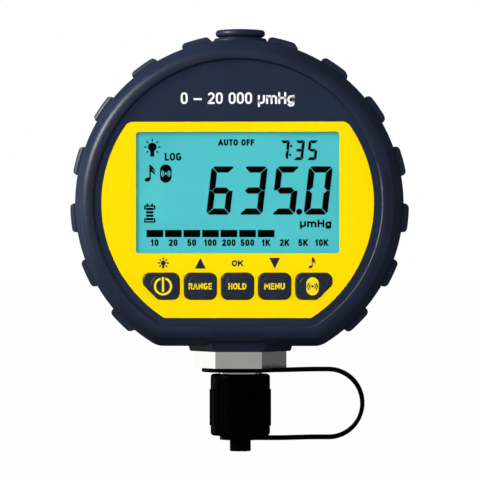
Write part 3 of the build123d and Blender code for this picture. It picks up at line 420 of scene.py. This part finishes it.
# Letters and figures: the width of each against its height, and the middle lines of its strokes in a unit square
round_loop = bow(0.5, 0.7, 0.5, 0.3, 0, 180) + bow(0.5, 0.3, 0.5, 0.3, 180, 360) + [(1, 0.7)]
alphabet = {
    " ": (0.3, []),
    "–": (0.7, [[(0, 0.4), (1, 0.4)]]),
    "0": (0.6, [round_loop]),
    "1": (0.46, [[(0.1, 0.76), (0.6, 0.96)], [(0.72, 1), (0.72, 0)]]),
    "2": (0.6, [bow(0.5, 0.72, 0.5, 0.28, 145, -30) + [(0.1, 0.1)], [(0, 0), (1, 0)]]),
    "5": (0.6, [[(0.8, 1), (0.06, 1), (0.04, 0.5)], bow(0.44, 0.28, 0.56, 0.3, 125, -135)]),
    "A": (0.76, [[(0, 0), (0.46, 1)], [(0.54, 1), (1, 0)], [(0.2, 0.3), (0.8, 0.3)]]),
    "D": (0.68, [[(0, 0), (0, 1)] + bow(0.4, 0.5, 0.6, 0.5, 90, -90) + [(0, 0)]]),
    "E": (0.58, [[(1, 1), (0, 1), (0, 0), (1, 0)], [(0, 0.52), (0.85, 0.52)]]),
    "F": (0.56, [[(1, 1), (0, 1), (0, 0)], [(0, 0.5), (0.85, 0.5)]]),
    "G": (0.7, [bow(0.5, 0.7, 0.5, 0.3, 58, 180) + bow(0.5, 0.3, 0.5, 0.3, 180, 350) + [(1, 0.42), (0.7, 0.42)]]),
    "H": (0.68, [[(0, 0), (0, 1)], [(1, 0), (1, 1)], [(0, 0.52), (1, 0.52)]]),
    "K": (0.7, [[(0, 0), (0, 1)], [(1, 1), (0.1, 0.4)], [(0.36, 0.58), (1, 0)]]),
    "L": (0.54, [[(0, 1), (0, 0), (1, 0)]]),
    "M": (0.88, [[(0, 0), (0, 1)], [(0.05, 1), (0.5, 0.3)], [(0.5, 0.3), (0.95, 1)], [(1, 1), (1, 0)]]),
    "N": (0.72, [[(0, 0), (0, 1)], [(0.05, 1), (0.95, 0)], [(1, 0), (1, 1)]]),
    "O": (0.7, [round_loop]),
    "R": (0.66, [[(0, 0), (0, 1)] + bow(0.55, 0.74, 0.45, 0.26, 90, -90) + [(0, 0.48)], [(0.5, 0.48), (1, 0)]]),
    "T": (0.62, [[(0, 1), (1, 1)], [(0.5, 1), (0.5, 0)]]),
    "U": (0.68, [[(0, 1)] + bow(0.5, 0.3, 0.5, 0.3, 180, 360) + [(1, 1)]]),
    "g": (0.6, [bow(0.5, 0.34, 0.5, 0.34, 0, 360), [(1, 0.7)] + bow(0.5, -0.08, 0.5, 0.2, 0, -150)]),
    "m": (0.94, [[(0, 0), (0, 0.7)], bow(0.25, 0.44, 0.25, 0.26, 150, 0) + [(0.5, 0)],
                 bow(0.75, 0.44, 0.25, 0.26, 150, 0) + [(1, 0)]]),
    "µ": (0.6, [[(0, 0.7), (0, -0.3)], bow(0.5, 0.26, 0.5, 0.26, 190, 360) + [(1, 0.7)]]),
}
letter_gap = 0.1
sharpest_join = 0.35


def inked(path, width, front):
    """A printed stroke: a flat section carried along a path (x, z), with square ends unless the path comes home."""
    path = np.asarray(path, float)
    home = np.allclose(path[0], path[-1])
    path = path[:-1] if home else path
    count = len(path)
    ahead = np.roll(path, -1, axis=0) - path
    if not home:
        ahead[-1] = ahead[-2]
    ahead /= np.linalg.norm(ahead, axis=1)[:, None]
    behind = np.roll(ahead, 1, axis=0)
    if not home:
        behind[0] = ahead[0]
        path[0] -= ahead[0] * width / 2
        path[-1] += ahead[-1] * width / 2
    middle_way = (ahead + behind) / 2
    side = np.column_stack([-middle_way[:, 1], middle_way[:, 0]])
    side *= width / 2 / np.maximum(np.sum(side**2, axis=1), sharpest_join)[:, None]
    back = front - ink_lift
    corners = [(path + side, back), (path + side, back - ink), (path - side, back - ink), (path - side, back)]
    rows = [np.column_stack([edge[:, 0], np.full(count, y), edge[:, 1]]) for edge, y in corners]
    faces = wrapped(count, 4, home, True)
    if not home:
        last = 4 * (count - 1)
        faces += [[3, 2, 1, 0], [last, last + 1, last + 2, last + 3]]
    return np.stack(rows, axis=1).reshape(-1, 3), faces


def lettering(words, height, middle, front, stroke, width=None):
    """Words in strokes, centred on middle, their capitals height millimetres tall, at their own width or the asked one."""
    spans = [alphabet[letter][0] for letter in words]
    unit = width / (sum(spans) + letter_gap * (len(words) - 1)) if width else height
    left = middle[0] - unit * (sum(spans) + letter_gap * (len(words) - 1)) / 2
    foot = middle[1] - height / 2
    shells = []
    for letter, span in zip(words, spans):
        for path in alphabet[letter][1]:
            across, up = np.array(path, float).T
            x = left + stroke / 2 + across * (span * unit - stroke)
            z = foot + stroke / 2 + up * (height - stroke)
            shells.append(inked(np.column_stack([x, z]), stroke, front))
        left += (span + letter_gap) * unit
    return shells


def bulb(x, z, radius, ray_from, ray_to, stroke):
    """A light bulb with its neck down and seven rays: outlines round the bulb's middle."""
    neck = bar(x, z - 1.55 * radius, 0.9 * radius, 1.3 * radius)
    rays = []
    for angle in np.radians(np.arange(-45, 226, 45)):
        middle = (ray_from + ray_to) / 2
        place = (x + middle * cos(angle), z + middle * sin(angle))
        rays.append(bar(*place, ray_to - ray_from, stroke, np.degrees(angle)))
    return [disc(x, z, radius), neck] + rays


def note(x, z, size):
    """A musical note with two flags: a leaning oval head, a stem and two curved flags, size millimetres tall."""
    head = disc(0, 0, 0.165 * size, 0.72, 28)
    tilt = radians(20)
    head = head @ np.array([[cos(tilt), sin(tilt)], [-sin(tilt), cos(tilt)]]) + (x, z)
    stem_x = x + 0.14 * size
    stem = bar(stem_x, z + 0.42 * size, 0.085 * size, 0.8 * size)
    along = np.linspace(0, 1, 12)
    flags = []
    for top in (0.82, 0.64):
        edge_x = stem_x + 0.3 * size * np.sin(along * pi / 2)
        edge_z = z + size * (top - 0.46 * along**1.3)
        thick = size * 0.17 * (1 - along) + 0.045 * size
        upper = np.column_stack([edge_x, edge_z])
        lower = np.column_stack([edge_x[::-1], (edge_z - thick)[::-1]])
        flags.append(np.vstack([upper, lower]))
    return [head, stem] + flags


def waves(x, z, size):
    """A radio sign: a dot and two pairs of arcs that open to both sides, size millimetres wide."""
    shapes = [disc(x, z, 0.13 * size, count=20)]
    for radius in (0.3, 0.5):
        shapes.append(arc_stroke(x, z, radius * size, 0.12 * size, -48, 48, 14))
        shapes.append(arc_stroke(x, z, radius * size, 0.12 * size, 132, 228, 14))
    return shapes


lit_strokes = {"0": "abcdef", "3": "abcdg", "5": "acdfg", "6": "acdefg", "7": "abc"}


def digit(figure, x, z, width, height, stroke, gap, lean):
    """The lit strokes of one seven-stroke figure, leaning, from its lower left corner (x, z).

    Strokes meet on diagonals a gap apart, the outer corners are cut off, and the middle stroke is pointed.
    """
    middle = height / 2
    half = stroke / 2
    cut = 0.45 * stroke
    tip = 0.55 * stroke
    far = (cut + gap) / 2
    near = (cut - gap) / 2
    top = [
        (cut, height),
        (width - cut, height),
        (width - far, height - near),
        (width - gap - stroke, height - stroke),
        (gap + stroke, height - stroke),
        (far, height - near),
    ]
    bottom = [(across, height - up) for across, up in top]
    upper_left = [
        (0, height - cut),
        (near, height - far),
        (stroke, height - stroke - gap),
        (stroke, middle + stroke - tip + gap),
        (tip - gap / 2, middle + gap / 2),
        (0, middle + gap / 2),
    ]
    lower_left = [(across, height - up) for across, up in upper_left]
    upper_right = [(width - across, up) for across, up in upper_left]
    lower_right = [(width - across, up) for across, up in lower_left]
    bar_of_middle = [
        (tip, middle),
        (tip + half, middle + half),
        (width - tip - half, middle + half),
        (width - tip, middle),
        (width - tip - half, middle - half),
        (tip + half, middle - half),
    ]
    strokes = {
        "a": top,
        "b": upper_right,
        "c": lower_right,
        "d": bottom,
        "e": lower_left,
        "f": upper_left,
        "g": bar_of_middle,
    }
    shapes = []
    for letter in lit_strokes[figure]:
        points = np.array(strokes[letter], float)
        points[:, 0] += points[:, 1] * tan(radians(lean))
        shapes.append(points + (x, z))
    return shapes


# What the display shows. Places are millimetres from the middle of the view, to the right and up.
figure_lean = 6.5
big_figures = {"left": -8.72, "foot": -6.05, "pitch": 8.9, "width": 6.55, "height": 13.25, "stroke": 1.72, "gap": 0.1}
point_place = (16.8, -5.22)
point_radius = 0.84
clock_figures = {"foot": 8.9, "width": 2.65, "height": 5.42, "stroke": 0.8, "gap": 0.05}
clock_places = {"7": 11.04, "3": 15.17, "5": 18.84}
colon_places = ((14.61, 12.755), (14.33, 10.34))
colon_radius = 0.33
sign_x = -23.5
bulb_z = 12.52
word_place = (-17.8, 9.85)
note_place = (-24.8, 3.6)
capsule_place = (-19.8, 5.25)
capsule_size = (3.22, 5.04)
battery_middle = (-24.2, -5.65)
battery_size = (2.95, 4.8)
upper_words = (-0.45, 13.75)
unit_place = (21.3, -8.44)
scale_first = -22.8
scale_pitch = 5.09
scale_bar = (4.6, 2.0)
scale_bar_z = -11.2
scale_lit = 7
scale_numbers_z = -13.69
scale_numbers = ("10", "20", "50", "100", "200", "500", "1K", "2K", "5K", "10K")
small_letters = 1.75
small_stroke = 0.46
scale_height = 1.85

shapes = []
for place, figure in enumerate("6350"):
    left = big_figures["left"] + place * big_figures["pitch"]
    sizes = [big_figures[size] for size in ("width", "height", "stroke", "gap")]
    shapes += digit(figure, left, big_figures["foot"], *sizes, figure_lean)
for figure, left in clock_places.items():
    sizes = [clock_figures[size] for size in ("width", "height", "stroke", "gap")]
    shapes += digit(figure, left, clock_figures["foot"], *sizes, figure_lean)
shapes += [disc(*place, colon_radius) for place in colon_places]
shapes.append(disc(*point_place, point_radius))
shapes += bulb(sign_x, bulb_z, 1.2, 1.55, 2.25, 0.36)
shapes += note(*note_place, 4.9)
for step in range(scale_lit):
    shapes.append(bar(scale_first + step * scale_pitch, scale_bar_z, *scale_bar))
for step in range(4):
    shapes.append(bar(battery_middle[0], battery_middle[1] + (step - 1.5) * 0.92 - 0.2, 2.05, 0.66))
for side in (-1, 1):
    edge = battery_middle[0] + side * battery_size[0] / 2
    shapes.append(bar(battery_middle[0] + side * 0.65, battery_middle[1] + battery_size[1] / 2, 0.55, 0.55))
    for end in (-1, 1):
        shapes.append(bar(edge - side * 0.13, battery_middle[1] - 0.2 + end * (battery_size[1] / 2 - 0.72), 0.42, 1.0))
for end in (-1, 1):
    shapes.append(bar(battery_middle[0], battery_middle[1] - 0.2 + end * (battery_size[1] / 2 - 0.22), battery_size[0], 0.42))

view_shift = np.array((0.0, view_middle))
glass_front = glass_low[1]
shells = [printed(outline + view_shift, glass_front) for outline in shapes]


def on_glass(words, height, place, stroke, width=None):
    """Words on the display, at a place given from the middle of the view."""
    return lettering(words, height, (place[0], place[1] + view_middle), glass_front, stroke, width)


shells += on_glass("AUTO OFF", small_letters, upper_words, small_stroke, 9.9)
shells += on_glass("LOG", 2.15, word_place, 0.5, 4.6)
shells += on_glass("µmHg", 2.1, unit_place, 0.52, 8.6)
for step, number in enumerate(scale_numbers):
    middle = (scale_first + step * scale_pitch - 0.05, scale_numbers_z)
    shells += on_glass(number, scale_height, middle, small_stroke)
shells.append(printed(capsule(*(np.array(capsule_place) + view_shift), *capsule_size), glass_front))
new_piece("display_figures", shells, lcd_ink, "case")
sign = [printed(outline + view_shift, glass_front, 1) for outline in waves(*capsule_place, 2.3)]
new_piece("display_radio_sign", sign, finish_of_slot["lcd_teal"], "case")

# Signs on the label, over the keys
sign_row = head_middle - 16.65
key_names = ("power", "units", "run", "mode", "radio")
key_x = {}
key_front = {}
for key in key_names:
    plunger_low, plunger_high = box_mm(f"{key}_plunger")
    cap_of_key_low, cap_of_key_high = box_mm(f"{key}_key")
    key_x[key] = (plunger_low[0] + plunger_high[0]) / 2
    key_front[key] = cap_of_key_low[1]
key_row = (plunger_low[2] + plunger_high[2]) / 2
sign_middle = sign_row + 0.19
triangle = np.array(((-1.5, -1.49), (1.5, -1.49), (0.0, 1.49)))
shapes = bulb(key_x["power"], sign_row + 0.25, 0.68, 0.86, 1.5, 0.36)
shapes.append(triangle + (key_x["units"], sign_middle))
shapes.append(-triangle + (key_x["mode"], sign_middle))
shapes += note(key_x["radio"] - 0.35, sign_row - 0.8, 3.2)
shells = [printed(outline, face_front) for outline in shapes]
shells += lettering("OK", 1.65, (key_x["run"], sign_middle), face_front, 0.42, 3.1)
new_piece("label_signs", shells, navy_ink, "case")

# Key legends, each on its own key
legend_row = key_row
radio_step = 0.2            # the radio key's sign, to the right of the key's middle
power_radius = 2.2
power_stroke = 0.6
ring = arc_stroke(key_x["power"], legend_row, power_radius, power_stroke, 108, 432, 60)
stem = bar(key_x["power"], legend_row + 0.5, power_stroke, 4.0)
legends = {"power": [printed(ring, key_front["power"]), printed(stem, key_front["power"])]}
for key, words, wide in (("units", "RANGE", 6.4), ("run", "HOLD", 5.0), ("mode", "MENU", 5.6)):
    legends[key] = lettering(words, 1.75, (key_x[key], legend_row), key_front[key], 0.36, wide)
legends["radio"] = [printed(capsule(key_x["radio"] + radio_step, legend_row, 3.35, 4.95), key_front["radio"])]
for key, shells in legends.items():
    new_piece(f"{key}_legend", shells, yellow_ink, f"{key}_button")
sign = [printed(outline, key_front["radio"], 1) for outline in waves(key_x["radio"] + radio_step, legend_row, 2.6)]
new_piece("radio_sign", sign, navy_ink, "radio_button")

# Range numbers on the housing's field, where the photograph has a name
field_front = housing_low[1]
field_row = head_middle + 28.7
range_words = lettering("0 – 20 000 µmHg", 3.2, (0.0, field_row), field_front, 0.55)
new_piece("range_marking", range_words, white_ink, "case")


def rounded_section(half_width, half_height, rounding, count=5):
    """A rectangle's outline with rounded corners, as (across, up) pairs going round once."""
    angle = np.linspace(0, pi / 2, count)
    corner = np.column_stack([np.cos(angle), np.sin(angle)]) * rounding
    inner = np.array((half_width - rounding, half_height - rounding))
    quarters = [
        corner + inner,
        corner[::-1] * (-1, 1) + inner * (-1, 1),
        -corner - inner,
        corner[::-1] * (1, -1) + inner * (1, -1),
    ]
    return np.vstack(quarters)


def flat_ring(level, inner, outer, thickness, rounding, count=96):
    """A flat ring about the port's axis: its rounded section carried round a circle."""
    section = rounded_section((outer - inner) / 2, thickness / 2, rounding)
    angle = np.linspace(0, 2 * pi, count, endpoint=False)
    radius = (outer + inner) / 2 + section[:, 0]
    x = np.cos(angle)[:, None] * radius[None, :]
    y = np.sin(angle)[:, None] * radius[None, :]
    z = np.broadcast_to(level + section[:, 1], x.shape)
    points = np.stack([x, y, z], axis=-1).reshape(-1, 3)
    return points, wrapped(len(angle), len(section), True, True, turned=True)


def band(path, normals, half_width, thickness, rounding):
    """A band along a path in the X-Z plane: its rounded section carried along it, with both ends closed."""
    section = rounded_section(1.0, thickness / 2, rounding)
    count = len(section)
    side = np.sign(section[:, 0]) * (np.abs(section[:, 0]) - 1.0)
    across = np.sign(section[:, 0])[None, :] * half_width[:, None] + side[None, :]
    up = section[:, 1]
    x = path[:, 0:1] + normals[:, 0:1] * up[None, :]
    z = path[:, 1:2] + normals[:, 1:2] * up[None, :]
    points = np.stack([x, across, z], axis=-1).reshape(-1, 3)
    rows = len(path)
    faces = wrapped(rows, count, False, True)
    faces.append(list(range(count - 1, -1, -1)))
    faces.append([(rows - 1) * count + place for place in range(count)])
    return points, faces


# The strap: a ring in the port's groove, a band that bends round on the right, and an eye on the cap's pin
strap_give = 0.3            # the bend is a little tighter than the moulding, as the strap lies drawn in
strap_rise = 0.25           # the band climbs by this on its way from the ring and the eye to the bend
rise_run = 12.0             # over this much of its way
strap_thickness = 1.1
band_thickness = 1.2
strap_half = 2.5
strap_rounding = 0.3
ring_width = 5.65
eye_width = 3.35
eye_outer = 5.7
ring_level = strap_high[2] - strap_thickness / 2
eye_level = strap_low[2] + strap_thickness / 2
bend_radius = (ring_level - eye_level) / 2
bend_start = strap_high[0] - strap_give - strap_thickness / 2 - bend_radius
ring_outer = -strap_low[0]
bend_angle = np.linspace(pi / 2, -pi / 2, 49)
upper_x = np.linspace(ring_outer - 1.2, bend_start, 14)[:-1]
lower_x = np.linspace(bend_start, eye_outer - 0.9, 20)[1:]
path = np.vstack([
    np.column_stack([upper_x, np.full(len(upper_x), ring_level)]),
    np.column_stack([bend_start + bend_radius * np.cos(bend_angle), (ring_level + eye_level) / 2 + bend_radius * np.sin(bend_angle)]),
    np.column_stack([lower_x, np.full(len(lower_x), eye_level)]),
])
climb = np.clip((path[:, 0] - ring_outer + 1.2) / rise_run, 0.0, 1.0)
path[:, 1] += strap_rise * climb**2 * (3 - 2 * climb)
normals = np.vstack([
    np.tile((0.0, 1.0), (len(upper_x), 1)),
    np.column_stack([np.cos(bend_angle), np.sin(bend_angle)]),
    np.tile((0.0, -1.0), (len(lower_x), 1)),
])
strap_shells = [
    flat_ring(ring_level, ring_outer - ring_width, ring_outer, strap_thickness, strap_rounding),
    flat_ring(eye_level, eye_outer - eye_width, eye_outer, strap_thickness, strap_rounding),
    band(path, normals, np.full(len(path), strap_half), band_thickness, strap_rounding),
]
strap = new_piece("strap_loop", strap_shells, strap_black, None, smooth=True)
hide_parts("cap_strap")
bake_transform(strap)


def stage_grid(name, size, level):
    """A level floor: a grid of flat faces about the object."""
    line = np.linspace(-size / 2, size / 2, 3)
    x, y = np.meshgrid(line, line)
    points = np.stack([x, y, np.full(x.shape, level)], axis=-1).reshape(-1, 3) * MM
    mesh = bpy.data.meshes.new(name)
    mesh.from_pydata(points.tolist(), [], [face[::-1] for face in wrapped(3, 3)])
    mesh.update()
    floor = bpy.data.objects.new(name, mesh)
    bpy.context.scene.collection.objects.link(floor)
    if floor.data.polygons[0].normal.z < 0:
        mesh.flip_normals()
    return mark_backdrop(floor) or floor


def pale_floor():
    """Back-lit white board, as bright all over as the white behind it, so that it shows no horizon."""
    made, tree, output, place = new_material("back_lit_white_board")
    tone = blend_tones(tree, noise(tree, place, 300.0), "FDFDFD", "FFFFFF")
    glow = add(tree, "ShaderNodeEmission", {"Color": tone, "Strength": 1.0})
    tree.links.new(glow.outputs["Emission"], output.inputs["Surface"])
    return made


floor = stage_grid("floor", floor_size, floor_level)
floor.data.materials.append(pale_floor())

# Soft studio light: a pale room that is dark behind the gauge, a lamp in front, one at each side, and two that only show
# as reflections, one on the boot's round edges and one in the left facet of the hexagon
world = bpy.data.worlds.new("studio")
bpy.context.scene.world = world
world.use_nodes = True
tree = world.node_tree
tree.nodes.clear()
direction = add(tree, "ShaderNodeTexCoord").outputs["Generated"]
depth = add(tree, "ShaderNodeSeparateXYZ", {"Vector": direction}).outputs["Y"]
room_light = add(tree, "ShaderNodeMapRange", {"Value": depth, "From Min": 0.1, "From Max": 0.55, "To Min": 0.36, "To Max": 0.05})
seen = add(tree, "ShaderNodeLightPath").outputs["Is Camera Ray"]
strength = add(tree, "ShaderNodeMix", {0: seen, 2: room_light.outputs["Result"], 3: 1.0}, data_type="FLOAT")
background = add(tree, "ShaderNodeBackground", {"Color": (1.0, 1.0, 1.0, 1.0), "Strength": strength.outputs["Result"]})
add(tree, "ShaderNodeOutputWorld", {"Surface": background.outputs["Background"]})


def softbox(name, place, power, size, matt=True, gloss=True):
    """A square lamp that faces the middle of the head, and lights matt surfaces, glossy ones or both."""
    lamp = bpy.data.lights.new(name, "AREA")
    lamp.energy = power
    lamp.size = size
    holder = bpy.data.objects.new(name, lamp)
    bpy.context.scene.collection.objects.link(holder)
    holder.location = place
    holder.visible_diffuse = matt
    holder.visible_glossy = gloss
    aim_at = Vector((0.0, 0.0, head_middle * MM)) - holder.location
    holder.rotation_euler = aim_at.to_track_quat("-Z", "Y").to_euler()
    return holder


softbox("key_lamp", (-0.3, -1.15, 0.38), 10.9, 0.5, gloss=False)
softbox("side_lamp", (-0.93, 0.08, 0.56), 27.0, 0.35, gloss=False)
softbox("back_lamp", (0.3, 1.2, 0.6), 9.0, 0.6, gloss=False)
softbox("right_lamp", (1.0, -0.3, 0.1), 3.0, 0.5, gloss=False)
softbox("rim_lamp", (-0.96, -0.53, 0.55), 45.0, 0.18, matt=False)
softbox("left_lamp", (-0.843, 0.537, 0.015), 0.7, 0.45, matt=False)
floor.visible_glossy = False
floor.visible_diffuse = False
